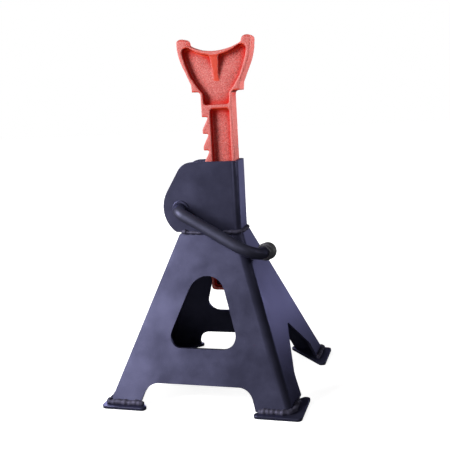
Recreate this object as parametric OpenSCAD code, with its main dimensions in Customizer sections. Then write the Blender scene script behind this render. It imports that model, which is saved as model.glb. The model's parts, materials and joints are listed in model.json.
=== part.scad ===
// Ratchet axle jack stand: a folded sheet-steel pyramid base on four welded pads, a bent
// channel housing on top, a cast ratchet post with a saddle, and a bent-rod handle whose
// pawl drops into the teeth of the post.
// Origin: floor level, on the centre line of the base. +X: closed back of the housing,
// -Y: front face, +Z: up.

/* [Base pyramid] */
// Half width of the pyramid at floor level, outside of the sheet
base_half = 97.4; // [96:0.1:99]
// Distance from the middle to the left edge of the pyramid's top rim
top_left_x = 36; // [34:0.1:40]
// Distance from the middle to the right edge of the pyramid's top rim
top_right_x = 33.1; // [33:0.1:40]
// Half width of the pyramid's top rim along Y
top_half_y = 18; // [18:1:24]
// Height of the pyramid's top rim
base_h = 166.5; // [163:0.5:167]
// Thickness of the base sheet
sheet_t = 3; // [2.5:0.1:4]
// Outside radius of the folded corners
fold_r = 9; // [6:1:14]

/* [Feet] */
// Distance from the middle to the outer edge of the right foot pads
pad_right = 106.7; // [103:0.1:115]
// Distance from the middle to the outer edge of the left foot pads
pad_left = 102.6; // [100:0.1:115]
// Distance from the middle to the outer edge of the front foot pads
pad_front = 105; // [103:0.1:115]
// Distance from the middle to the outer edge of the rear foot pads
pad_rear = 100.5; // [100:0.1:115]
// Length of a foot pad's outer side along X
pad_side = 47.8; // [46:0.1:52]
// Length of a foot pad's outer side along Y
pad_depth = 54; // [50:0.5:56]
// Thickness of a foot pad
pad_t = 3.3; // [3:0.1:5]
// Size of the fillet weld round each foot
foot_bead = 5.5; // [3:0.1:6]

/* [Base openings] */
// Height of the bottom edge of the front and rear windows
window_z0 = 56.5; // [52:0.5:60]
// Height of the top of the front and rear windows
window_z1 = 125.5; // [115:0.5:130]
// Half width of the windows at their bottom edge
window_half = 40.5; // [36:0.1:44]
// Height of the front and rear floor arches
arch_z = 23.5; // [18:0.5:30]
// Half width of the front and rear arches at floor level
arch_half = 62.1; // [60:0.1:64]
// Distance of each arch's centre line from the folded corner's side of the middle
arch_shift = 1.8; // [0:0.1:3]
// Height of the side arches
side_arch_z = 62; // [55:1:70]
// Half width of the side arches at floor level
side_arch_half = 56; // [50:1:58]
// Distance of each side arch's centre line from the folded corner's side of the middle
side_arch_shift = 8; // [0:0.5:9]

/* [Housing] */
// Width of the housing across its cheeks
housing_w = 36; // [34:0.5:40]
// Thickness of the housing sheet
housing_t = 3.5; // [3:0.1:4]
// Outside face of the housing's closed back
back_x = 32; // [31.5:0.1:33]
// Height of the housing's top edge
housing_z1 = 243.8; // [241:0.1:247]
// Outside radius of the housing's two folds
housing_fold_r = 7; // [5:0.5:9]

/* [Ratchet post] */
// X of the tooth tips
post_x0 = -6.2; // [-7:0.1:-6]
// X of the post's smooth back
post_x1 = 28.2; // [27.5:0.1:28.3]
// Thickness of the post
post_t = 18.8; // [18:0.1:20]
// Height of the post's lower end as shown
post_z0 = 102.5; // [99:0.5:105]
// Height of the highest tooth ledge as shown
ledge_z = 289.8; // [289:0.1:290]
// Distance from tooth to tooth
pitch = 17.5; // [17.4:0.1:17.6]
// Depth of a tooth
tooth_depth = 6.4; // [5:0.1:7]
// Number of teeth
tooth_count = 8; // [7:1:8]
// Thickness of the post's middle web
web_t = 6; // [5:0.5:9]

/* [Saddle] */
// Height of the lowest point of the saddle
saddle_z = 357.5; // [351:0.5:361]
// Radius of the saddle's cradle
saddle_r = 62; // [55:1:70]
// Half width over the two horns
horn_half = 40.3; // [38:0.1:42]
// Width of a horn
horn_w = 10.8; // [9:0.1:12]
// Height of the horn tops
horn_z = 371.5; // [369:0.5:375]
// Height of the saddle's shoulders
shoulder_z = 316; // [316:0.5:319]

/* [Handle and pawl] */
// X of the handle's pivot
pivot_x = -32.7; // [-34:0.1:-32]
// Height of the handle's pivot
pivot_z = 193.5; // [192:0.1:194.5]
// Diameter of the handle rod
rod_d = 12.6; // [11:0.1:12.8]
// Slope of the handle's arm below level
arm_angle = 28.8; // [28:0.1:29]
// Distance from the pivot to the corner where the arm and the grip meet
arm_len = 95.8; // [95.5:0.1:97]
// Distance from the post's middle plane to the arm at the pivot end
arm_y0 = 32.5; // [31.5:0.5:33]
// Distance from the post's middle plane to the arm at the grip end
arm_y1 = 39.5; // [39:0.5:41]
// Middle radius of the bend beside the housing
bend_r0 = 10; // [8:0.5:10.5]
// Middle radius of the bend at the grip
bend_r1 = 24; // [18:0.5:25]
// Angle of the grip away from the stand
grip_splay = 8.4; // [8:0.1:12]
// Length from that corner to the end of the grip
grip_len = 41; // [38:1:45]
// Diameter of the cap on the grip
cap_d = 19; // [18:0.1:19.2]

/* [Hidden] */
$fn = 64;
coat = [0.26, 0.27, 0.35];
cast = [0.86, 0.38, 0.32];
zinc = [0.72, 0.73, 0.72];
tiny = 0.01;
big = 300;

// Unit vector, and a polygon from points [x, y, corner radius] with true tangent arcs
function unit(v) = v / norm(v);
function arc_points(c, r, a0, a1, n) =
  [for (i = [0:n]) c + r * [cos(a0 + (a1 - a0) * i / n), sin(a0 + (a1 - a0) * i / n)]];
function turn(a) = a > 180 ? a - 360 : a < -180 ? a + 360 : a;
function corner(a, b, c, r, n) =
  let(
    u = unit(a - b),
    v = unit(c - b),
    half = acos(u * v) / 2,
    mid = b + unit(u + v) * r / sin(half),
    p = b + u * r / tan(half) - mid,
    q = b + v * r / tan(half) - mid,
    a0 = atan2(p[1], p[0]))
  arc_points(mid, r, a0, a0 + turn(atan2(q[1], q[0]) - a0), n);
function xy(p) = [p[0], p[1]];
function outline(pts, n = 6) =
  let(m = len(pts))
  [for (i = [0:m - 1])
    each (pts[i][2] > 0
      ? corner(xy(pts[(i + m - 1) % m]), xy(pts[i]), xy(pts[(i + 1) % m]), pts[i][2], n)
      : [xy(pts[i])])];
// The right half of an outline, in front of its mirror image
function both_sides(half) = concat(half, [for (i = [len(half) - 1:-1:0]) [-half[i][0], half[i][1]]]);

// Stand a flat XY drawing up in the XZ plane, t thick, centred on y = 0
module upright(t) {
  rotate([90, 0, 0])
    linear_extrude(height = t, center = true)
      children();
}

// ---- Base pyramid ----
// Outer faces at height z; side is -1 for the left or front face, +1 for the other
slope_y = (base_half - top_half_y) / base_h;
function slope_x(side) = (base_half - (side < 0 ? top_left_x : top_right_x)) / base_h;
function side_x(side, z) = side * (base_half - slope_x(side) * z);
function side_y(side, z) = side * (base_half - slope_y * z);
// How far a face moves in at any height when the sheet's thickness is taken off
function inset_x(side, t) = side * t / cos(atan(slope_x(side)));
function inset_y(t) = t / cos(atan(slope_y));

module pyramid_slice(z, inset, r) {
  x0 = side_x(-1, z) - inset_x(-1, inset);
  x1 = side_x(1, z) - inset_x(1, inset);
  hy = side_y(1, z) - inset_y(inset);
  translate([0, 0, z])
    linear_extrude(height = tiny)
      polygon(outline([[x1, -hy, r], [x1, hy, 0], [x0, hy, r], [x0, -hy, 0]], 8));
}

module pyramid_solid(z0, z1, inset) {
  hull() {
    pyramid_slice(z0, inset, fold_r - inset);
    pyramid_slice(z1, inset, fold_r - inset);
  }
}

// Everything in front of and to the right of the two welded corner seams. Each seam lies a
// little to one side of its corner, so that one sheet laps the edge of the other.
seam_lap = 1;
module front_side() {
  hull()
    for (z = [-1, base_h + 5]) {
      rear_right = [side_x(1, z), side_y(1, z) - seam_lap];
      front_left = [side_x(-1, z), side_y(-1, z) + seam_lap];
      along = rear_right - front_left;
      translate([0, 0, z])
        linear_extrude(height = tiny)
          polygon([rear_right + along, front_left - along, [0, -2 * big], [2 * big, 0]]);
    }
}

window_top_r = 20.6;
window_corner_r = 12;
window_shift = 1;
module window_shape() {
  lean = 0.379;
  reach = window_half - lean * (window_z1 - window_z0);
  polygon(outline([
    [window_half, window_z0, window_corner_r],
    [reach, window_z1, window_top_r],
    [-reach, window_z1, window_top_r],
    [-window_half, window_z0, window_corner_r]], 8));
}

module arch_shape() {
  polygon(outline([
    [arch_half + 1, -2, 0],
    [arch_half - 8, arch_z, 16],
    [8 - arch_half, arch_z, 16],
    [-arch_half - 1, -2, 0]], 8));
}

module side_arch_shape() {
  knee = [side_arch_half - 9, 24];
  polygon(outline([
    [side_arch_half + 1, -2, 0],
    [knee[0], knee[1], 16],
    [0, side_arch_z + 2, 6],
    [-knee[0], knee[1], 16],
    [-side_arch_half - 1, -2, 0]]));
}

module base_shell() {
  difference() {
    pyramid_solid(pad_t, base_h - tiny, 0);
    pyramid_solid(pad_t - 3, base_h + 3, sheet_t);
    for (side = [-1, 1]) {
      translate([side * window_shift, side * big, 0])
        upright(2 * big)
          window_shape();
      translate([side * arch_shift, side * big, 0])
        upright(2 * big)
          arch_shape();
      translate([side * big, side * side_arch_shift, 0])
        rotate([0, 0, 90])
          upright(2 * big)
            side_arch_shape();
    }
  }
}

module base_front_half() {
  color(coat)
    intersection() {
      base_shell();
      front_side();
    }
}

module base_rear_half() {
  color(coat)
    difference() {
      base_shell();
      front_side();
    }
}

// Weld run inside a corner seam of the pyramid; side is +1 for the rear right seam
seam_z0 = 8;
seam_z1 = 160;
seam_leg = 5;
module seam_weld(side) {
  color(coat)
    hull()
      for (z = [seam_z0, seam_z1]) {
        x = side_x(side, z) - inset_x(side, sheet_t);
        y = side_y(side, z) - side * inset_y(sheet_t);
        translate([0, 0, z])
          linear_extrude(height = tiny)
            polygon([[x, y], [x - side * seam_leg, y], [x, y - side * seam_leg]]);
      }
}

// ---- Feet; sx and sy name the corner, drawn as the rear right one and mirrored ----
pad_cut = 6.5;
function pad_x(sx) = sx < 0 ? pad_left : pad_right;
function pad_y(sy) = sy < 0 ? pad_front : pad_rear;
module at_corner(sx, sy) {
  color(coat)
    mirror([sx < 0 ? 1 : 0, 0, 0])
      mirror([0, sy < 0 ? 1 : 0, 0])
        children();
}

module foot_pad(sx, sy) {
  x1 = pad_x(sx);
  y1 = pad_y(sy);
  x0 = x1 - pad_side;
  y0 = y1 - pad_depth;
  at_corner(sx, sy)
    linear_extrude(height = pad_t)
      polygon(outline([[x1, y1, 5], [x1, y0, 4], [x1 - pad_cut, y0, 2], [x0, y1 - pad_cut, 2], [x0, y1, 4]]));
}

// Fillet weld along the two outer faces of a leg, standing on its pad
pad_margin = 0.8;
weld_inset = 6.5;
module foot_weld(sx, sy) {
  z0 = pad_t;
  reach = pad_side - weld_inset;
  foot_x = abs(side_x(sx, z0)) + tiny;
  foot_y = abs(side_y(sy, z0)) + tiny;
  leg_x = min(foot_bead, pad_x(sx) - foot_x - pad_margin);
  leg_y = min(foot_bead, pad_y(sy) - foot_y - pad_margin);
  at_corner(sx, sy)
    union() {
      rotate([90, 0, 90])
        translate([0, 0, pad_x(sx) - reach])
          linear_extrude(height = foot_x - pad_x(sx) + reach)
            polygon([[foot_y, z0], [foot_y + leg_y, z0], [abs(side_y(sy, z0 + leg_y)) + tiny, z0 + leg_y]]);
      rotate([90, 0, 0])
        translate([0, 0, -foot_y])
          linear_extrude(height = foot_y - pad_y(sy) + reach)
            polygon([[foot_x, z0], [foot_x + leg_x, z0], [abs(side_x(sx, z0 + leg_x)) + tiny, z0 + leg_x]]);
      translate([foot_x, foot_y, z0])
        cube([leg_x * 0.8, leg_y * 0.8, min(leg_x, leg_y) / 2]);
    }
}

// ---- Housing ----
housing_z0 = base_h;
cheek_tip_x = -52.7;
inner_half = housing_w / 2 - housing_t;

cheek_c = [-19.4, 195];
cheek_r = 33.2;
module cheek_outline() {
  polygon(concat(
    outline([
      [back_x + 1, housing_z0, 0],
      [back_x + 1, housing_z1, 0],
      [-28.2, housing_z1, 18],
      [-40.2, 224.5, 0]], 8),
    arc_points(cheek_c, cheek_r, 148.5, 230, 12),
    [[-38.6, 168.7], [-34, 168.7], [-34, housing_z0]]));
}

module housing_plan() {
  half = housing_w / 2;
  r = housing_fold_r;
  difference() {
    polygon(outline([[cheek_tip_x - 2, -half, 0], [back_x, -half, r], [back_x, half, r],
      [cheek_tip_x - 2, half, 0]], 8));
    polygon(outline([[cheek_tip_x - 3, -inner_half, 0], [back_x - housing_t, -inner_half, r - housing_t],
      [back_x - housing_t, inner_half, r - housing_t], [cheek_tip_x - 3, inner_half, 0]], 8));
  }
}

pivot_clearance = 0.1;
// Raised rim round the hole in the front cheek
rim_bore_r = rod_d / 2 + 0.6;
rim_r = rim_bore_r + 2.3;
rim_h = 1.4;
module pivot_rim() {
  translate([pivot_x, -housing_w / 2 + 0.5, pivot_z])
    rotate([90, 0, 0])
      difference() {
        cylinder(r1 = rim_r + 0.6, r2 = rim_r, h = rim_h + 0.5);
        translate([0, 0, 0.5])
          cylinder(r = rim_bore_r, h = rim_h + 1);
      }
}

module pawl_housing() {
  color(coat)
    difference() {
      union() {
        intersection() {
          linear_extrude(height = big)
            housing_plan();
          upright(2 * housing_w)
            cheek_outline();
        }
        pivot_rim();
      }
      translate([pivot_x, 0, pivot_z])
        rotate([90, 0, 0])
          cylinder(d = rod_d + 2 * pivot_clearance, h = 2 * housing_w, center = true);
    }
}

// Weld runs round the foot of the housing, lying against the base's rim
bead_up = 5;
bead_out = 4.4;
bead_down = 3.2;
stitch_x = [-34.5, -10];
wrap_x0 = 11.5;

// A straight stitch on the front (side -1) or rear (side +1) cheek
module cheek_weld(side) {
  color(coat)
    mirror([0, side < 0 ? 1 : 0, 0])
      translate([stitch_x[0], 0, 0])
        rotate([90, 0, 90])
          linear_extrude(height = stitch_x[1] - stitch_x[0])
            polygon(outline([
              [housing_w / 2, base_h, 0],
              [housing_w / 2, base_h + bead_up, 0],
              [housing_w / 2 + bead_out * 0.75, base_h + bead_up * 0.45, 2],
              [top_half_y + bead_out, base_h - bead_down * 0.4, 2],
              [side_y(1, base_h - bead_down), base_h - bead_down, 0],
              [top_half_y, base_h, 0]], 4));
}

// The run along the closed back of the housing and round both of its folds
module bead_slice(z, grow) {
  half = housing_w / 2 + grow;
  r = housing_fold_r + grow;
  translate([0, 0, z])
    linear_extrude(height = tiny)
      polygon(outline([[wrap_x0, -half, 0], [back_x + grow, -half, r], [back_x + grow, half, r],
        [wrap_x0, half, 0]], 8));
}

module housing_weld_back() {
  color(coat)
    difference() {
      hull() {
        bead_slice(base_h - bead_down, bead_out * 0.9);
        bead_slice(base_h - bead_down * 0.2, bead_out);
        bead_slice(base_h + bead_up * 0.45, bead_out * 0.75);
        bead_slice(base_h + bead_up - tiny, 0.3);
      }
      pyramid_solid(base_h - 20, base_h + 3 * tiny, 0);
      linear_extrude(height = big)
        polygon(outline([[wrap_x0 - 1, -housing_w / 2, 0], [back_x, -housing_w / 2, housing_fold_r],
          [back_x, housing_w / 2, housing_fold_r], [wrap_x0 - 1, housing_w / 2, 0]], 8));
    }
}

// Guide plates between the post and the cheeks; side is -1 in front
guide_x0 = 3;
guide_z0 = 176;
guide_z1 = 240;
post_gap = 0.5;
module guide_plate(side) {
  inside = post_t / 2 + post_gap;
  color(zinc)
    translate([guide_x0, side > 0 ? inside : -inner_half, guide_z0])
      cube([back_x - housing_t - (housing_fold_r - housing_t) - guide_x0,
        inner_half - inside, guide_z1 - guide_z0]);
}

// Strip across the housing that keeps the toothed side of the post upright
strip_t = 4;
strip_gap = 0.8;
module lower_guide_strip() {
  color(zinc)
    translate([post_x0 - strip_gap - strip_t, -inner_half, base_h + 2])
      cube([strip_t, 2 * inner_half, 12]);
}

// ---- Ratchet post with saddle ----
post_mid = (post_x0 + post_x1) / 2;
post_half = (post_x1 - post_x0) / 2;
horn_in = horn_half - horn_w;
cradle_angle = asin(horn_in / saddle_r);
flank_r = 60;
lug_half = 26.3;
neck_r = 3.2;
flank_angle = 23;
tooth_ramp = 12.8;

// Right edge of the post from the middle of the cradle down to the lower end
function post_right() = concat(
  arc_points([0, saddle_z + saddle_r], saddle_r, -90, cradle_angle - 90, 8),
  arc_points([horn_in + 5, horn_z - 5], 5, 180, 90, 5),
  arc_points([horn_half - 4, horn_z - 4], 4, 90, 0, 5),
  arc_points([horn_half - flank_r, horn_z - 4.5], flank_r, 0, -flank_angle, 6),
  [[lug_half + 0.6, shoulder_z + 8], [lug_half, shoulder_z]],
  arc_points([post_half + neck_r, shoulder_z - neck_r], neck_r, 90, 180, 5),
  arc_points([post_half - 4, post_z0 + 4], 4, 0, -90, 5));

module post_profile() {
  difference() {
    translate([post_mid, 0])
      polygon(both_sides(post_right()));
    for (k = [0:tooth_count - 1])
      translate([post_x0, ledge_z - k * pitch])
        polygon([[-1, 0], [tooth_depth, 0], [tooth_depth, -0.8], [0, -tooth_ramp], [-1, -tooth_ramp - 1]]);
  }
}

rim = 4.8;
pocket_x0 = 3.8;
pocket_x1 = 24.3;
pocket_z0 = 106.3;
pocket_foot_x0 = -2.8;
rib_z = 298;
rib_h = 4.7;
function saddle_pocket_right() = concat(
  arc_points([0, saddle_z - rim + 45], 45, -90, -53, 6),
  arc_points([30.3, 357.6], 4.1, 90, -14, 5),
  [[33.4, 351.5], [31.4, 345], [26.7, 332.3], [19.2, 320.4], [14.1, 314.2]],
  arc_points([11.1, rib_z + rib_h + 2.5], 2.5, 0, -90, 4));

module post_pockets() {
  polygon(outline([
    [pocket_foot_x0, pocket_z0, 2.5], [pocket_x1, pocket_z0, 2.5],
    [pocket_x1, rib_z, 2.5], [pocket_x0, rib_z, 2.5],
    [pocket_x0, 150, 4], [pocket_foot_x0, 138, 4]], 4));
  translate([post_mid, 0])
    polygon(both_sides(saddle_pocket_right()));
}

// Wedge rib under the cradle, from the rim back to the web; on one side of the web
wedge_z0 = 327;
wedge_half0 = 2.5;
wedge_half1 = 5.2;
module wedge_rib() {
  intersection() {
    translate([post_mid, 0])
      upright(post_t)
        polygon([[-wedge_half0, wedge_z0], [wedge_half0, wedge_z0],
          [wedge_half1, saddle_z - rim + 1], [-wedge_half1, saddle_z - rim + 1]]);
    rotate([90, 0, 90])
      linear_extrude(height = 2 * big, center = true)
        polygon([[web_t / 2 - 0.5, wedge_z0], [-web_t / 2 - 0.2, wedge_z0],
          [-post_t / 2 + 0.3, saddle_z - rim + 1], [web_t / 2 - 0.5, saddle_z - rim + 1]]);
  }
}

// What is taken off the tops of the horns to round them across the casting
crown_r = 5;
crown_step = 0.3;
module horn_crown() {
  for (side = [-1, 1])
    rotate([90, 0, 90])
      linear_extrude(height = 2 * big, center = true)
        difference() {
          translate([side * (post_t / 2 + crown_step), horn_z])
            square([2 * crown_r, 2 * crown_r], center = true);
          translate([side * (post_t / 2 - crown_r + crown_step), horn_z - crown_r + crown_step])
            circle(crown_r, $fn = 48);
        }
}

pin_x = 14;
pin_z = 116;
pin_d = 6;
module ratchet_post() {
  color(cast)
    difference() {
      union() {
        difference() {
          upright(post_t)
            post_profile();
          for (side = [-1, 1])
            translate([0, side * (post_t + web_t) / 2, 0])
              upright(post_t)
                post_pockets();
        }
        wedge_rib();
        mirror([0, 1, 0])
          wedge_rib();
      }
      horn_crown();
      translate([pin_x, 0, pin_z])
        rotate([90, 0, 0])
          cylinder(d = pin_d, h = post_t, center = true);
    }
}

// Roll pin across the foot of the post, which stops against the guide plates
pin_len = 27;
module post_stop_pin() {
  color(zinc)
    translate([pin_x, 0, pin_z])
      rotate([90, 0, 0])
        difference() {
          cylinder(d = pin_d, h = pin_len, center = true);
          cylinder(d = pin_d - 2.4, h = pin_len + 2, center = true);
        }
}

// ---- Handle, flat in the plane through the pivot axis; local x runs down the arm ----
module handle_frame() {
  translate([pivot_x, 0, pivot_z])
    rotate([0, arm_angle, 0])
      children();
}

spread = atan((arm_y1 - arm_y0) / arm_len);
turn0 = 90 - spread;
turn1 = 90 - grip_splay + spread;
tail_y = 26.5;
// Corners of the rod's middle line in that plane, and how far each bend cuts its corner
corner0 = [0, -arm_y0, 0];
corner1 = [arm_len, -arm_y1, 0];
arm_dir = [cos(spread), -sin(spread), 0];
grip_dir = [sin(grip_splay), cos(grip_splay), 0];
cut0 = bend_r0 * tan(turn0 / 2);
cut1 = bend_r1 * tan(turn1 / 2);

// The bends reach a little into the straights and are a hair thinner than they are
bend_lap = 1;
bend_thin = 0.02;

module rod_bend(radius, sweep) {
  rotate([0, 0, -bend_lap])
    rotate_extrude(angle = sweep + 2 * bend_lap)
      translate([radius, 0])
        circle(rod_d / 2 - bend_thin);
}

module handle_rod() {
  r = rod_d / 2;
  color(coat)
    difference() {
      handle_frame()
        union() {
          translate([0, tail_y, 0])
            rotate([90, 0, 0])
              cylinder(r = r, h = tail_y + arm_y0 - cut0);
          translate(corner0 + [bend_r0, cut0, 0])
            rotate([0, 0, 180])
              rod_bend(bend_r0, turn0);
          translate(corner0 + arm_dir * cut0)
            rotate([0, 0, -spread])
              rotate([0, 90, 0])
                cylinder(r = r, h = norm(corner1 - corner0) - cut0 - cut1);
          translate(corner1 - arm_dir * cut1 + [-arm_dir[1], arm_dir[0], 0] * bend_r1)
            rotate([0, 0, -90 - spread])
              rod_bend(bend_r1, turn1);
          translate(corner1 + grip_dir * cut1)
            rotate([-90, 0, -grip_splay])
              cylinder(r = r, h = grip_len - cut1);
        }
      handle_frame()
        translate([0, cotter_y, 0])
          cylinder(d = cotter_d, h = 2 * rod_d, center = true);
      handle_frame()
        rotate([0, roll_angle, 0])
          cylinder(d = roll_d, h = 3 * rod_d, center = true);
    }
}

// Push-on cap with a collar and a groove
cap_back = 4;
cap_len = 18;
module handle_end_cap() {
  r = cap_d / 2;
  color([0.24, 0.25, 0.27])
    handle_frame()
      translate(corner1 + grip_dir * (grip_len + cap_back - cap_len))
        rotate([-90, 0, -grip_splay])
          difference() {
            rotate_extrude()
              polygon(outline([
                [0, 0, 0], [r - 1.2, 0, 0.8], [r - 1.2, 2.6, 0.4], [r - 2.1, 3.0, 0.4],
                [r - 2.1, 4.6, 0.4], [r, 5.2, 1], [r, cap_len, 3], [0, cap_len, 0]], 4));
            translate([0, 0, -1])
              cylinder(d = rod_d, h = cap_len - cap_back + 1);
          }
}

// Pawl keyed to the handle rod by a roll pin; its nose sits just clear of the tooth tips
pawl_w = 21;
nose = [post_x0 - 0.25, ledge_z - 4 * pitch - 0.2];
module pawl() {
  color(zinc)
    difference() {
      union() {
        translate([pivot_x, 0, pivot_z])
          rotate([90, 0, 0])
            cylinder(d = 23, h = pawl_w, center = true);
        upright(pawl_w)
          polygon(outline([
            [pivot_x - 8, pivot_z + 8, 0],
            [nose[0] - 7.5, nose[1] + 0.8, 2],
            [nose[0], nose[1], 0.8],
            [nose[0] - 0.6, nose[1] - 6.5, 1],
            [pivot_x + 9, pivot_z - 7, 0]], 4));
      }
      translate([pivot_x, 0, pivot_z])
        rotate([90, 0, 0])
          cylinder(d = rod_d, h = 2 * pawl_w, center = true);
      handle_frame()
        rotate([0, roll_angle, 0])
          cylinder(d = roll_d, h = 3 * rod_d, center = true);
    }
}

roll_d = 4;
roll_angle = -60;
roll_len = 22;
module pawl_roll_pin() {
  color(zinc)
    handle_frame()
      rotate([0, roll_angle, 0])
        difference() {
          cylinder(d = roll_d, h = roll_len, center = true);
          cylinder(d = roll_d - 1.8, h = roll_len + 2, center = true);
        }
}

module rod_washer(y0, t, d) {
  translate([pivot_x, y0, pivot_z])
    rotate([-90, 0, 0])
      difference() {
        cylinder(d = d, h = t);
        translate([0, 0, -1])
          cylinder(d = rod_d, h = t + 2);
      }
}

spacer_t = inner_half - pawl_w / 2 - 0.5;
module spacer_washer_front() {
  color(zinc)
    rod_washer(-pawl_w / 2 - spacer_t, spacer_t, 20);
}

module spacer_washer_rear() {
  color(zinc)
    rod_washer(pawl_w / 2, spacer_t, 20);
}

end_washer_t = 2;
cotter_d = 3;
cotter_y = housing_w / 2 + 0.3 + end_washer_t + cotter_d / 2;
module rod_end_washer() {
  color(zinc)
    rod_washer(housing_w / 2 + 0.3, end_washer_t, 22);
}

module cotter_pin() {
  leg = rod_d / 2 + 5;
  color(zinc)
    handle_frame()
      translate([0, cotter_y, 0])
        union() {
          translate([0, 0, -leg])
            cylinder(d = cotter_d, h = 2 * leg);
          translate([0, 0, leg + 3])
            rotate([90, 0, 0])
              rotate_extrude()
                translate([3.2, 0])
                  circle(d = 2.2);
        }
}

base_front_half();
base_rear_half();
seam_weld(-1);  // seam_weld_left
seam_weld(1);  // seam_weld_right
foot_pad(-1, -1);  // foot_pad_front_left
foot_pad(1, -1);  // foot_pad_front_right
foot_pad(-1, 1);  // foot_pad_rear_left
foot_pad(1, 1);  // foot_pad_rear_right
foot_weld(-1, -1);  // foot_weld_front_left
foot_weld(1, -1);  // foot_weld_front_right
foot_weld(-1, 1);  // foot_weld_rear_left
foot_weld(1, 1);  // foot_weld_rear_right
pawl_housing();
cheek_weld(-1);  // housing_weld_front
cheek_weld(1);  // housing_weld_rear
housing_weld_back();
guide_plate(-1);  // guide_plate_front
guide_plate(1);  // guide_plate_rear
lower_guide_strip();
ratchet_post();
post_stop_pin();
handle_rod();
handle_end_cap();
pawl();
pawl_roll_pin();
spacer_washer_front();
spacer_washer_rear();
rod_end_washer();
cotter_pin();
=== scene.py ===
# Looks for the ratchet axle jack stand: materials, detailed meshes, light and camera
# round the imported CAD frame.
import bpy
import bmesh
import json
import math
from mathutils import Matrix, Vector, noise


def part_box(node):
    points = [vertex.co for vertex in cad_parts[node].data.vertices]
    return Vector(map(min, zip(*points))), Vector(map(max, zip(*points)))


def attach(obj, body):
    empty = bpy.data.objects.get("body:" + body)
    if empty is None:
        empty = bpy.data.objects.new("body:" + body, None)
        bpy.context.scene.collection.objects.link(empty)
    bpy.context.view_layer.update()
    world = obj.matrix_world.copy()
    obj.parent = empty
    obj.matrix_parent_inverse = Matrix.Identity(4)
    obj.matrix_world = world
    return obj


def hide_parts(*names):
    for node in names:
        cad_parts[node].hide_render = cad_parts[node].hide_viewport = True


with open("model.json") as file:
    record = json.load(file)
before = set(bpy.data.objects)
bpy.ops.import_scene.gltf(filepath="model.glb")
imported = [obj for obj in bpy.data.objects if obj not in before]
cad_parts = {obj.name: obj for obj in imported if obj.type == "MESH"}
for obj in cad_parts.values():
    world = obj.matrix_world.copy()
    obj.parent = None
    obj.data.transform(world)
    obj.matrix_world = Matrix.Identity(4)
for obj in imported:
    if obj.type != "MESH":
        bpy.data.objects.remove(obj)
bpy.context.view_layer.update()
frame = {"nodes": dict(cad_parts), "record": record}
nodes = frame["nodes"]
MM = 0.001

# Outer radii in mm of the sheet metal that the beads follow
FOLD_R = 9
SHEARED_CORNER_R = 1.0
HOUSING_FOLD_R = 7

# Weld beads, in mm: radius, height over the pad or base, stand-off from the sheet
FOOT_BEAD_R = 3.0
FOOT_BEAD_UP = 1.6
WELD_REACH = 3.3
BACK_BEAD_R = 2.2
HEAVY_STITCH_R = 2.7
THIN_STITCH_R = 1.7
STITCH_UP = 2.6
SIDE_OFF = 0.9
BACK_OFF = 1.0
BEAD_END_IN = 1.5
BEAD_STEP = 0.35
BEAD_SIDES = 14
RIPPLE = 1.9

# Camera: place in metres, lens in mm, turn in degrees
CAMERA_PLACE = (0.23625, -0.75626, 0.30915)
CAMERA_LENS = 59.06
CAMERA_YAW = 16.63
CAMERA_PITCH = 9.78
CAMERA_ROLL = -3.25

# Light that the floor and the white backdrop give
FLOOR_GLOW = 0.86
FILL_LEVEL = 0.06

# Soft boxes: name, place, target, size, power in watts, spread in degrees
SOFT_BOXES = [
    ("key", (-0.76, -0.64, 0.64), (0, 0, 0.18), (0.36, 0.46), 12.8, 180),
    ("low_front", (-0.88, -0.90, 0.24), (0, 0, 0.24), (0.6, 0.4), 3.7, 180),
    ("by_camera", (0.34, -0.95, 0.32), (0, 0, 0.18), (0.3, 0.3), 1.0, 180),
    ("saddle_side", (0.95, 0.10, 0.54), (0, 0, 0.335), (0.16, 0.16), 0.18, 20),
    ("back", (0.34, 1.30, 0.20), (0, 0, 0.14), (0.7, 0.4), 0.60, 180),
    ("low_back", (0.50, 0.85, 0.05), (0.09, 0, 0.03), (0.3, 0.08), 0.025, 60),
    ("rear_left", (-0.90, 1.20, 0.70), (0, 0, 0.2), (0.8, 0.8), 9.0, 180),
]


# ---------------------------------------------------------------- camera, floor, light
def camera():
    """A camera that looks down a little at the front and the right side."""
    data = bpy.data.cameras.new("photo_camera")
    data.sensor_width = 36
    data.lens = CAMERA_LENS
    cam = bpy.data.objects.new("photo_camera", data)
    bpy.context.scene.collection.objects.link(cam)
    yaw, pitch, roll = (math.radians(a) for a in (CAMERA_YAW, CAMERA_PITCH, CAMERA_ROLL))
    level = math.cos(pitch)
    ahead = Vector((-math.sin(yaw) * level, math.cos(yaw) * level, -math.sin(pitch)))
    right = Vector((math.cos(yaw), math.sin(yaw), 0))
    up = right.cross(ahead)
    x = right * math.cos(roll) + up * math.sin(roll)
    y = up * math.cos(roll) - right * math.sin(roll)
    turn = Matrix((x, y, -ahead)).transposed().to_4x4()
    cam.matrix_world = Matrix.Translation(Vector(CAMERA_PLACE)) @ turn
    data.clip_start = 0.01
    bpy.context.scene.camera = cam


def area_light(name, place, target, size, power, spread):
    """A rectangular soft box that faces its target."""
    data = bpy.data.lights.new(name, "AREA")
    data.shape = "RECTANGLE"
    data.size, data.size_y = size
    data.energy = power
    data.spread = math.radians(spread)
    lamp = bpy.data.objects.new(name, data)
    bpy.context.scene.collection.objects.link(lamp)
    lamp.location = Vector(place)
    lamp.rotation_euler = (Vector(target) - Vector(place)).to_track_quat("-Z", "Y").to_euler()


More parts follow.
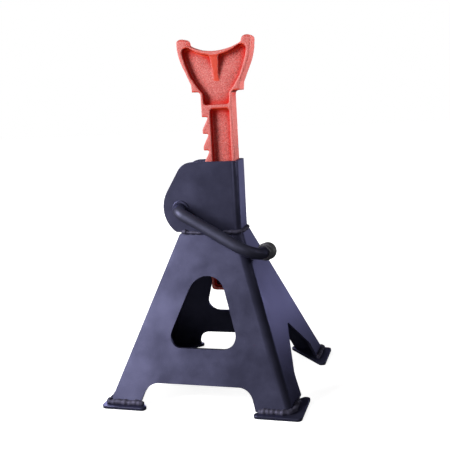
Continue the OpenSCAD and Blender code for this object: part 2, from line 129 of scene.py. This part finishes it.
def studio():
    """A white backdrop that gives less light than it shows, and the soft boxes."""
    world = bpy.data.worlds.new("studio")
    bpy.context.scene.world = world
    world.use_nodes = True
    nt = world.node_tree
    back = nt.nodes["Background"]
    back.inputs["Color"].default_value = (1, 1, 1, 1)
    path = nt.nodes.new("ShaderNodeLightPath")
    level = nt.nodes.new("ShaderNodeMapRange")
    level.inputs["To Min"].default_value = FILL_LEVEL
    level.inputs["To Max"].default_value = 1.0
    nt.links.new(path.outputs["Is Camera Ray"], level.inputs["Value"])
    nt.links.new(level.outputs["Result"], back.inputs["Strength"])
    for row in SOFT_BOXES:
        area_light(*row)
    scene = bpy.context.scene
    scene.view_settings.view_transform = "Standard"
    scene.view_settings.look = "None"
    scene.view_settings.exposure = 0
    scene.view_settings.gamma = 1


# ---------------------------------------------------------------- node material helpers
class Tree:
    """A material's node tree, with short calls for the nodes used here."""

    def __init__(self, name):
        self.mat = bpy.data.materials.new(name)
        self.mat.use_nodes = True
        self.nt = self.mat.node_tree
        self.bsdf = self.nt.nodes["Principled BSDF"]
        coord = self.nt.nodes.new("ShaderNodeTexCoord")
        self.place = coord.outputs["Object"]
        self.normal = coord.outputs["Normal"]

    def link(self, a, b):
        self.nt.links.new(a, b)

    def feed(self, socket, value):
        """Link a socket to another, or give it a number or a colour."""
        if hasattr(value, "is_linked"):
            self.link(value, socket)
        elif isinstance(value, (int, float)):
            socket.default_value = value
        else:
            socket.default_value = (*value, 1)

    def noise(self, per_metre, detail=3.0, rough=0.55):
        n = self.nt.nodes.new("ShaderNodeTexNoise")
        n.inputs["Scale"].default_value = per_metre
        n.inputs["Detail"].default_value = detail
        n.inputs["Roughness"].default_value = rough
        self.link(self.place, n.inputs["Vector"])
        return n.outputs["Fac"]

    def voronoi(self, per_metre):
        n = self.nt.nodes.new("ShaderNodeTexVoronoi")
        n.inputs["Scale"].default_value = per_metre
        self.link(self.place, n.inputs["Vector"])
        return n.outputs["Distance"]

    def ramp(self, fac, stops):
        n = self.nt.nodes.new("ShaderNodeValToRGB")
        while len(n.color_ramp.elements) < len(stops):
            n.color_ramp.elements.new(0.5)
        for e, (at, v) in zip(n.color_ramp.elements, stops):
            e.position = at
            e.color = (v, v, v, 1) if isinstance(v, (int, float)) else (*v, 1)
        self.link(fac, n.inputs["Fac"])
        return n.outputs["Color"]

    def mix(self, fac, a, b):
        n = self.nt.nodes.new("ShaderNodeMix")
        n.data_type = "RGBA"
        for key, value in (("Factor", fac), ("A", a), ("B", b)):
            self.feed(n.inputs[key], value)
        return n.outputs["Result"]

    def maths(self, op, a, b=0.0):
        n = self.nt.nodes.new("ShaderNodeMath")
        n.operation = op
        for socket, value in zip(n.inputs, (a, b)):
            self.feed(socket, value)
        return n.outputs["Value"]

    def spread(self, fac, low, high, a=0.0, b=1.0):
        """Map fac from the range a to b onto the range low to high."""
        n = self.nt.nodes.new("ShaderNodeMapRange")
        for key, v in (("From Min", a), ("From Max", b), ("To Min", low), ("To Max", high)):
            n.inputs[key].default_value = v
        self.link(fac, n.inputs["Value"])
        return n.outputs["Result"]

    def bump(self, height, depth_mm, strength=1.0, under=None):
        n = self.nt.nodes.new("ShaderNodeBump")
        n.inputs["Distance"].default_value = depth_mm * MM
        n.inputs["Strength"].default_value = strength
        self.link(height, n.inputs["Height"])
        if under is not None:
            self.link(under, n.inputs["Normal"])
        return n.outputs["Normal"]

    def pointiness(self):
        """High on ridges and low in grooves; only of use on a dense mesh."""
        return self.nt.nodes.new("ShaderNodeNewGeometry").outputs["Pointiness"]

    def rounded(self):
        """1 on the faces that softened() made along a piece's edges."""
        n = self.nt.nodes.new("ShaderNodeAttribute")
        n.attribute_name = "rounded"
        return n.outputs["Fac"]

    def set(self, **values):
        """Give the shader's own sockets their values; the keywords are the sockets' names."""
        for key, value in values.items():
            self.feed(self.bsdf.inputs[key.replace("_", " ")], value)
        return self.mat


def lighter(colour, times):
    return tuple(min(1, c * times) for c in colour)


def darker(colour, times):
    return tuple(c * times for c in colour)


def powder_coat(name, deep, light, metal, rough, peel):
    """Satin metallic powder coat: orange peel, faint mottle, paler where edges are rubbed."""
    t = Tree(name)
    mottle = t.noise(38, 4)
    fine = t.noise(900, 2)
    colour = t.mix(t.ramp(mottle, [(0.35, 0.0), (0.68, 1.0)]), deep, light)
    speck = t.ramp(fine, [(0.62, 0.0), (0.74, 1.0)])
    colour = t.mix(t.maths("MULTIPLY", speck, 0.15), colour, lighter(light, 1.9))
    worn = t.maths("MULTIPLY", t.rounded(), t.ramp(t.noise(120, 3), [(0.42, 0.0), (0.62, 1.0)]))
    colour = t.mix(t.maths("MULTIPLY", worn, 0.2), colour, lighter(light, 2.0))
    peel_map = t.noise(620, 1.5, 0.4)
    dust = t.noise(2600, 1, 0.4)
    normal = t.bump(dust, 0.006, 0.5, t.bump(peel_map, peel, 0.9))
    t.set(Metallic=metal, Specular_Tint=COAT_TINT)
    return t.set(Base_Color=colour, Normal=normal,
                 Roughness=t.spread(mottle, rough[0], rough[1], 0.3, 0.7))


def cast_paint(name, deep, light, pale, hollow_shade, under):
    """Paint over a sand casting: sandy in the pockets, smooth on the rims, with painted shade (a
    deep dark red) in the hollows and pockets, a near black painted shade in the post's foot
    pocket, and a painted shade of saturated orange red on the faces that point down.
    """
    t = Tree(name)
    sand = t.noise(760, 4, 0.7)
    lumps = t.noise(260, 3, 0.55)
    broad = t.noise(45, 3)
    colour = t.mix(t.ramp(broad, [(0.35, 0.0), (0.65, 1.0)]), deep, light)
    colour = t.mix(t.ramp(sand, [(0.42, 0.0), (0.68, 0.85)]), colour, pale)
    worn = t.ramp(t.pointiness(), [(0.52, 0.0), (0.60, 1.0)])
    colour = t.mix(t.maths("MULTIPLY", worn, 0.5), colour, pale)
    open_air = t.nt.nodes.new("ShaderNodeAmbientOcclusion")
    open_air.samples = 12
    open_air.only_local = True
    open_air.inputs["Distance"].default_value = 14 * MM
    reach = open_air.outputs["AO"]
    specks = t.ramp(t.noise(880, 3, 0.75), [(0.40, 1.0), (0.53, 0.0)])
    # This mask grows with the occlusion: it pulls the pockets toward the deep red, which is
    # painted shade, and it places the dark sand specks, which are grain.
    pocket_shade_and_sand = t.spread(reach, 1.0, 0.12, 0.86, 0.99)
    colour = t.mix(t.maths("MULTIPLY", pocket_shade_and_sand, 0.22), colour, deep)
    colour = t.mix(t.maths("MULTIPLY", specks, pocket_shade_and_sand), colour, darker(deep, 0.48))
    # Painted shade: where the occlusion is strongest, in the hollows and at the foot of the walls,
    # the colour goes to the hollow colour, a deep dark red.
    colour = t.mix(t.ramp(reach, [(0.66, 1.0), (0.85, 0.0)]), colour, hollow_shade)
    where = t.nt.nodes.new("ShaderNodeSeparateXYZ")
    t.link(t.place, where.inputs[0])
    facing = t.nt.nodes.new("ShaderNodeSeparateXYZ")
    t.link(t.normal, facing.inputs[0])
    flat = t.spread(t.maths("ABSOLUTE", facing.outputs["Y"]), 0.0, 1.0, 0.75, 0.95)
    foot = t.spread(where.outputs["Z"], 1.0, 0.0, 0.132, 0.145)
    # Painted shade: the flat, hemmed-in floor of the pocket low on the post's foot goes near
    # black.
    painted_foot_shade = t.maths("MULTIPLY", t.maths("MULTIPLY", foot, flat),
                   t.ramp(reach, [(0.88, 1.0), (0.98, 0.0)]))
    colour = t.mix(painted_foot_shade, colour, darker(deep, 0.05))
    # Painted shade: faces that point down, and not to the side, take the under colour, a saturated
    # orange red without the pale sand, for the light from above that they miss.
    below = t.spread(facing.outputs["Z"], 1.0, 0.0, -0.18, -0.08)
    ahead = t.spread(t.maths("ABSOLUTE", facing.outputs["X"]), 1.0, 0.0, 0.15, 0.35)
    colour = t.mix(t.maths("MULTIPLY", below, ahead), colour, under)
    pits = t.ramp(t.voronoi(900), [(0.0, 0.0), (0.35, 1.0)])
    height = t.mix(0.3, sand, pits)
    normal = t.bump(height, 0.55, 0.8, t.bump(lumps, 0.3, 0.6))
    # The specular level also falls in the hollows, which darkens them further as painted shade.
    return t.set(Base_Color=colour, Roughness=t.spread(sand, 0.42, 0.62),
                 Specular_IOR_Level=t.spread(reach, 0.05, 0.7, 0.6, 0.95), Normal=normal)


def steel(name, deep, light, metal, rough):
    """Bare or zinc-plated steel with fine scratches and cloudy roughness."""
    t = Tree(name)
    cloud = t.noise(160, 4)
    grain = t.noise(2400, 3, 0.7)
    colour = t.mix(t.ramp(cloud, [(0.3, 0.0), (0.7, 1.0)]), deep, light)
    scratched = t.maths("MULTIPLY", t.ramp(grain, [(0.45, 0.0), (0.75, 1.0)]), 0.25)
    colour = t.mix(scratched, colour, darker(deep, 0.6))
    return t.set(Base_Color=colour, Metallic=metal, Normal=t.bump(grain, 0.02, 0.6),
                 Roughness=t.spread(cloud, rough[0], rough[1], 0.3, 0.7))


def vinyl(name, deep, light):
    """Dull dark vinyl with a fine grain."""
    t = Tree(name)
    fine = t.noise(1300, 3, 0.6)
    broad = t.noise(120, 3)
    colour = t.mix(t.ramp(broad, [(0.35, 0.0), (0.7, 1.0)]), deep, light)
    return t.set(Base_Color=colour, Roughness=t.spread(fine, 0.40, 0.55),
                 Normal=t.bump(fine, 0.03, 0.6))


COAT_TINT = (0.55, 0.55, 0.95)
MATERIALS = {
    "frame_coat": powder_coat("frame_coat", (0.062, 0.062, 0.112), (0.082, 0.082, 0.145),
                              metal=0.7, rough=(0.31, 0.39), peel=0.03),
    "rod_coat": powder_coat("rod_coat", (0.070, 0.070, 0.110), (0.088, 0.089, 0.138),
                            metal=0.7, rough=(0.46, 0.56), peel=0.02),
    "weld_coat": powder_coat("weld_coat", (0.064, 0.060, 0.092), (0.108, 0.102, 0.150),
                             metal=0.4, rough=(0.54, 0.68), peel=0.06),
    # The cast paint's hollow colour is painted shade for the recesses, and its under colour is
    # painted shade for the faces that point down.
    "cast_paint": cast_paint("cast_paint", (0.63, 0.052, 0.039), (0.72, 0.088, 0.070),
                             pale=(0.86, 0.35, 0.32), hollow_shade=(0.62, 0.020, 0.012),
                             under=(0.82, 0.056, 0.018)),
    "zinc": steel("zinc", (0.42, 0.42, 0.40), (0.62, 0.62, 0.60), metal=1.0, rough=(0.28, 0.45)),
    "pawl_steel": steel("pawl_steel", (0.045, 0.045, 0.050), (0.075, 0.075, 0.080),
                        metal=0.7, rough=(0.38, 0.55)),
    "cap_vinyl": vinyl("cap_vinyl", (0.085, 0.082, 0.100), (0.120, 0.116, 0.140)),
}

BODY_NODES = frame["record"]["behaviour"]["bodies"]
slot_of = {s["node"]: s["material_slot"] for s in frame["record"]["subparts"]}
for name, obj in nodes.items():
    obj.data.materials.clear()
    obj.data.materials.append(MATERIALS[slot_of[name]])


# ---------------------------------------------------------------- detailed meshes
def body_of(node):
    return next(name for name, parts in BODY_NODES.items() if node in parts)


def new_piece(name, mesh, node):
    """Put a finished mesh in the place of its CAD piece, on the same body and in the same slot."""
    obj = bpy.data.objects.new(name, mesh)
    bpy.context.scene.collection.objects.link(obj)
    slot = slot_of[node]
    mesh.materials.clear()
    mesh.materials.append(MATERIALS[slot])
    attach(obj, body_of(node))
    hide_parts(node)
    return obj


def to_mesh(bm, name):
    mesh = bpy.data.meshes.new(name)
    bm.to_mesh(mesh)
    bm.free()
    return mesh


def cleaned(node):
    """The CAD mesh as a bmesh, with its flat faces joined up again."""
    bm = bmesh.new()
    bm.from_mesh(nodes[node].data)
    bmesh.ops.remove_doubles(bm, verts=bm.verts, dist=0.004 * MM)
    bmesh.ops.dissolve_limit(bm, angle_limit=math.radians(0.6), verts=bm.verts, edges=bm.edges)
    return bm


def shade_smooth(mesh):
    for face in mesh.polygons:
        face.use_smooth = True


def softened(node, width_mm, segments, angle=28):
    """A copy of a CAD piece with rounded edges, whose new faces are marked for the edge wear."""
    bm = cleaned(node)
    mark = bm.faces.layers.float.new("rounded")
    limit = math.radians(angle)
    sharp = [e for e in bm.edges if len(e.link_faces) == 2 and e.calc_face_angle() > limit]
    made = bmesh.ops.bevel(bm, geom=sharp, offset=width_mm * MM, offset_type="OFFSET",
                           segments=segments, profile=0.5, affect="EDGES",
                           clamp_overlap=True)["faces"]
    for face in made:
        face[mark] = 1.0
    mesh = to_mesh(bm, node + "_finished")
    shade_smooth(mesh)
    obj = new_piece(node + "_finished", mesh, node)
    even = obj.modifiers.new("even_shading", "WEIGHTED_NORMAL")
    even.mode = "FACE_AREA"
    even.weight = 100
    even.keep_sharp = True


def cast_copy(node, voxel_mm, smooth_steps, lump_mm, grit_mm):
    """A copy of a CAD piece as a sand casting: soft corners, fillets, and an uneven skin."""
    draft = bpy.data.objects.new(node + "_draft", to_mesh(cleaned(node), node + "_draft"))
    bpy.context.scene.collection.objects.link(draft)
    remesh = draft.modifiers.new("voxels", "REMESH")
    remesh.mode = "VOXEL"
    remesh.voxel_size = voxel_mm * MM
    relax = draft.modifiers.new("relax", "SMOOTH")
    relax.factor = 0.5
    relax.iterations = smooth_steps
    graph = bpy.context.evaluated_depsgraph_get()
    skin = bpy.data.meshes.new_from_object(draft.evaluated_get(graph))
    bpy.data.objects.remove(draft)
    skin.name = node + "_finished"
    moves = []
    for v in skin.vertices:
        lump = noise.noise(v.co / (9 * MM)) + 0.5 * noise.noise(v.co / (4 * MM))
        grit = noise.noise(v.co / (1.3 * MM)) + 0.6 * noise.noise(v.co / (0.7 * MM))
        moves.append(v.co + v.normal * (lump_mm * (lump - 0.9) + grit_mm * (grit - 0.8)) * MM)
    for v, co in zip(skin.vertices, moves):
        v.co = co
    shade_smooth(skin)
    new_piece(node + "_finished", skin, node)


def along(points, step):
    """Evenly spaced points along a polyline, with the direction at each."""
    out = []
    carry = 0.0
    for a, b in zip(points, points[1:]):
        leg = b - a
        length = leg.length
        if length < 1e-9:
            continue
        d = carry
        while d < length:
            out.append((a + leg * (d / length), leg / length))
            d += step
        carry = d - length
    out.append((points[-1], (points[-1] - points[-2]).normalized()))
    return out


def weld_bead(node, runs, outward, seed):
    """Lumpy weld metal, rippled like overlapping coins: each run is (points, radius in mm)."""
    bm = bmesh.new()
    for k, (points, radius_mm) in enumerate(runs):
        radius = radius_mm * MM
        samples = along(points, BEAD_STEP * MM)
        total = len(samples) - 1
        rings = []
        for i, (p, d) in enumerate(samples):
            s = i * BEAD_STEP
            end = min(i, total - i) * BEAD_STEP / radius_mm
            taper = math.sqrt(max(0.02, 1 - max(0.0, 1 - end) ** 2))
            out = outward(p)
            out = (out - d * out.dot(d)).normalized()
            side = d.cross(out)
            wander = noise.noise(Vector((s * 0.16, seed, k))) * 0.30
            swell = 1 + 0.40 * noise.noise(Vector((s * 0.26, seed + 7, k)))
            ring = []
            shift = 0.3 * noise.noise(Vector((s * 0.3, seed + 3, k)))
            for m in range(BEAD_SIDES):
                a = 2 * math.pi * m / BEAD_SIDES
                c, q = math.cos(a), math.sin(a)
                phase = s / RIPPLE + 0.5 * q * q + shift
                coin = 0.035 * math.sin(math.pi * (phase % 1.0)) ** 0.7
                r = radius * taper * swell * (0.93 + coin)
                reach = side * (q * r + wander * radius)
                ring.append(bm.verts.new(p + out * (c * r * 0.92) + reach))
            rings.append(ring)
        for a, b in zip(rings, rings[1:]):
            for m in range(BEAD_SIDES):
                n = (m + 1) % BEAD_SIDES
                bm.faces.new((a[m], a[n], b[n], b[m]))
        bm.faces.new(rings[0][::-1])
        bm.faces.new(rings[-1])
    bmesh.ops.recalc_face_normals(bm, faces=bm.faces)
    mesh = to_mesh(bm, node + "_bead")
    shade_smooth(mesh)
    new_piece(node + "_bead", mesh, node)


def box(node):
    low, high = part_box(node)
    return Vector(low), Vector(high)


def foot_beads():
    """Fillet beads along the two outer faces of each leg, on its pad."""
    front_low, front_high = box("base_front_half")
    rear_low, rear_high = box("base_rear_half")
    edge_x = {"left": rear_low.x, "right": front_high.x}
    edge_y = {"front": front_low.y, "rear": rear_high.y}
    folded = {("front", "right"), ("rear", "left")}
    for seed, (row, side) in enumerate((r, s) for r in edge_y for s in edge_x):
        sx = 1 if side == "right" else -1
        sy = 1 if row == "rear" else -1
        z = box("foot_pad_%s_%s" % (row, side))[1].z + FOOT_BEAD_UP * MM
        x, y = edge_x[side], edge_y[row]
        weld_low, weld_high = box("foot_weld_%s_%s" % (row, side))
        inner_x = (weld_low.x if sx > 0 else weld_high.x) - sx * WELD_REACH * MM
        inner_y = weld_low.y if sy > 0 else weld_high.y
        r = (FOLD_R if (row, side) in folded else SHEARED_CORNER_R) * MM
        o = SIDE_OFF * MM
        turn = [Vector((x - sx * r + sx * (r + o) * math.sin(a),
                        y - sy * r + sy * (r + o) * math.cos(a), z))
                for a in (math.radians(15 * n) for n in range(7))]
        points = [Vector((inner_x, y + sy * o, z))] + turn + [Vector((x + sx * o, inner_y, z))]
        centre = Vector((x - sx * 25 * MM, y - sy * 25 * MM, z))

        def outward(p, c=centre):
            v = p - c
            flat = Vector((v.x, 0, 0)) if abs(v.x) > abs(v.y) else Vector((0, v.y, 0))
            return (flat.normalized() + Vector((0, 0, 0.75))).normalized()

        weld_bead("foot_weld_%s_%s" % (row, side), [(points, FOOT_BEAD_R)], outward,
                  seed * 11.0 + 2)


def housing_beads():
    """Two short stitches on the cheeks, and the run round the closed back of the housing."""
    z = box("base_front_half")[1].z + STITCH_UP * MM
    back, half = box("pawl_housing")[1].xy
    for side, node in ((-1, "housing_weld_front"), (1, "housing_weld_rear")):
        low, high = box(node)
        y = side * (half + SIDE_OFF * MM)
        x0, x1 = low.x + BEAD_END_IN * MM, high.x
        heavy = [Vector((x0, y, z + 0.3 * MM)), Vector((x0 + 6 * MM, y, z + 0.3 * MM))]
        thin = [Vector((x0 + 3 * MM, y, z - 0.6 * MM)), Vector((x1, y, z - 0.7 * MM))]
        weld_bead(node, [(heavy, HEAVY_STITCH_R), (thin, THIN_STITCH_R)],
                  lambda p, s=side: Vector((0, s, 0.5)).normalized(), 40.0 + side)
    r = HOUSING_FOLD_R * MM
    x0 = box("housing_weld_back")[0].x + BEAD_END_IN * MM
    o = BACK_OFF * MM
    arc = [(back - r + (r + o) * math.sin(a), half - r + (r + o) * math.cos(a))
           for a in (math.radians(10 * n) for n in range(10))]
    plan = [(x0, half + o)] + arc
    near = [Vector((x, -y, z)) for x, y in plan]
    points = near + [Vector((x, y, z)) for x, y in reversed(plan)]

    def outward(p):
        v = Vector((max(0.0, p.x - (back - r)), 0, 0))
        if abs(p.y) > half - r:
            v.y = p.y - math.copysign(half - r, p.y)
        return (v.normalized() + Vector((0, 0, 0.5))).normalized()

    weld_bead("housing_weld_back", [(points, BACK_BEAD_R)], outward, 55.0)


# ---------------------------------------------------------------- floor
def floor():
    """A pale floor that runs into the white backdrop, and sends little light back up."""
    bm = bmesh.new()
    bmesh.ops.create_grid(bm, x_segments=2, y_segments=2, size=6.0)
    mesh = to_mesh(bm, "floor")
    obj = bpy.data.objects.new("floor", mesh)
    bpy.context.scene.collection.objects.link(obj)
    t = Tree("floor_paper")
    away = t.nt.nodes.new("ShaderNodeVectorMath")
    away.operation = "LENGTH"
    t.link(t.place, away.inputs[0])
    seen = t.nt.nodes.new("ShaderNodeLightPath").outputs["Is Camera Ray"]
    glow = t.spread(away.outputs["Value"], FLOOR_GLOW, 1.0, 0.15, 0.9)
    paper = t.mix(t.noise(6, 2), (0.86, 0.86, 0.86), (0.90, 0.90, 0.90))
    colour = t.mix(seen, (0.12, 0.12, 0.12), paper)
    mesh.materials.append(t.set(Base_Color=colour, Roughness=0.9, Specular_IOR_Level=0.0,
                                Emission_Color=(1, 1, 1),
                                Emission_Strength=t.maths("MULTIPLY", glow, seen)))


camera()
studio()
floor()
for node in ("base_front_half", "base_rear_half"):
    softened(node, 0.7, 2)
softened("pawl_housing", 0.6, 3)
for node in nodes:
    if node.startswith("foot_pad"):
        softened(node, 0.6, 2)
for node in ("handle_rod", "handle_end_cap"):
    softened(node, 0.5, 3)
foot_beads()
housing_beads()
cast_copy("ratchet_post", 0.8, 5, 0.12, 0.07)
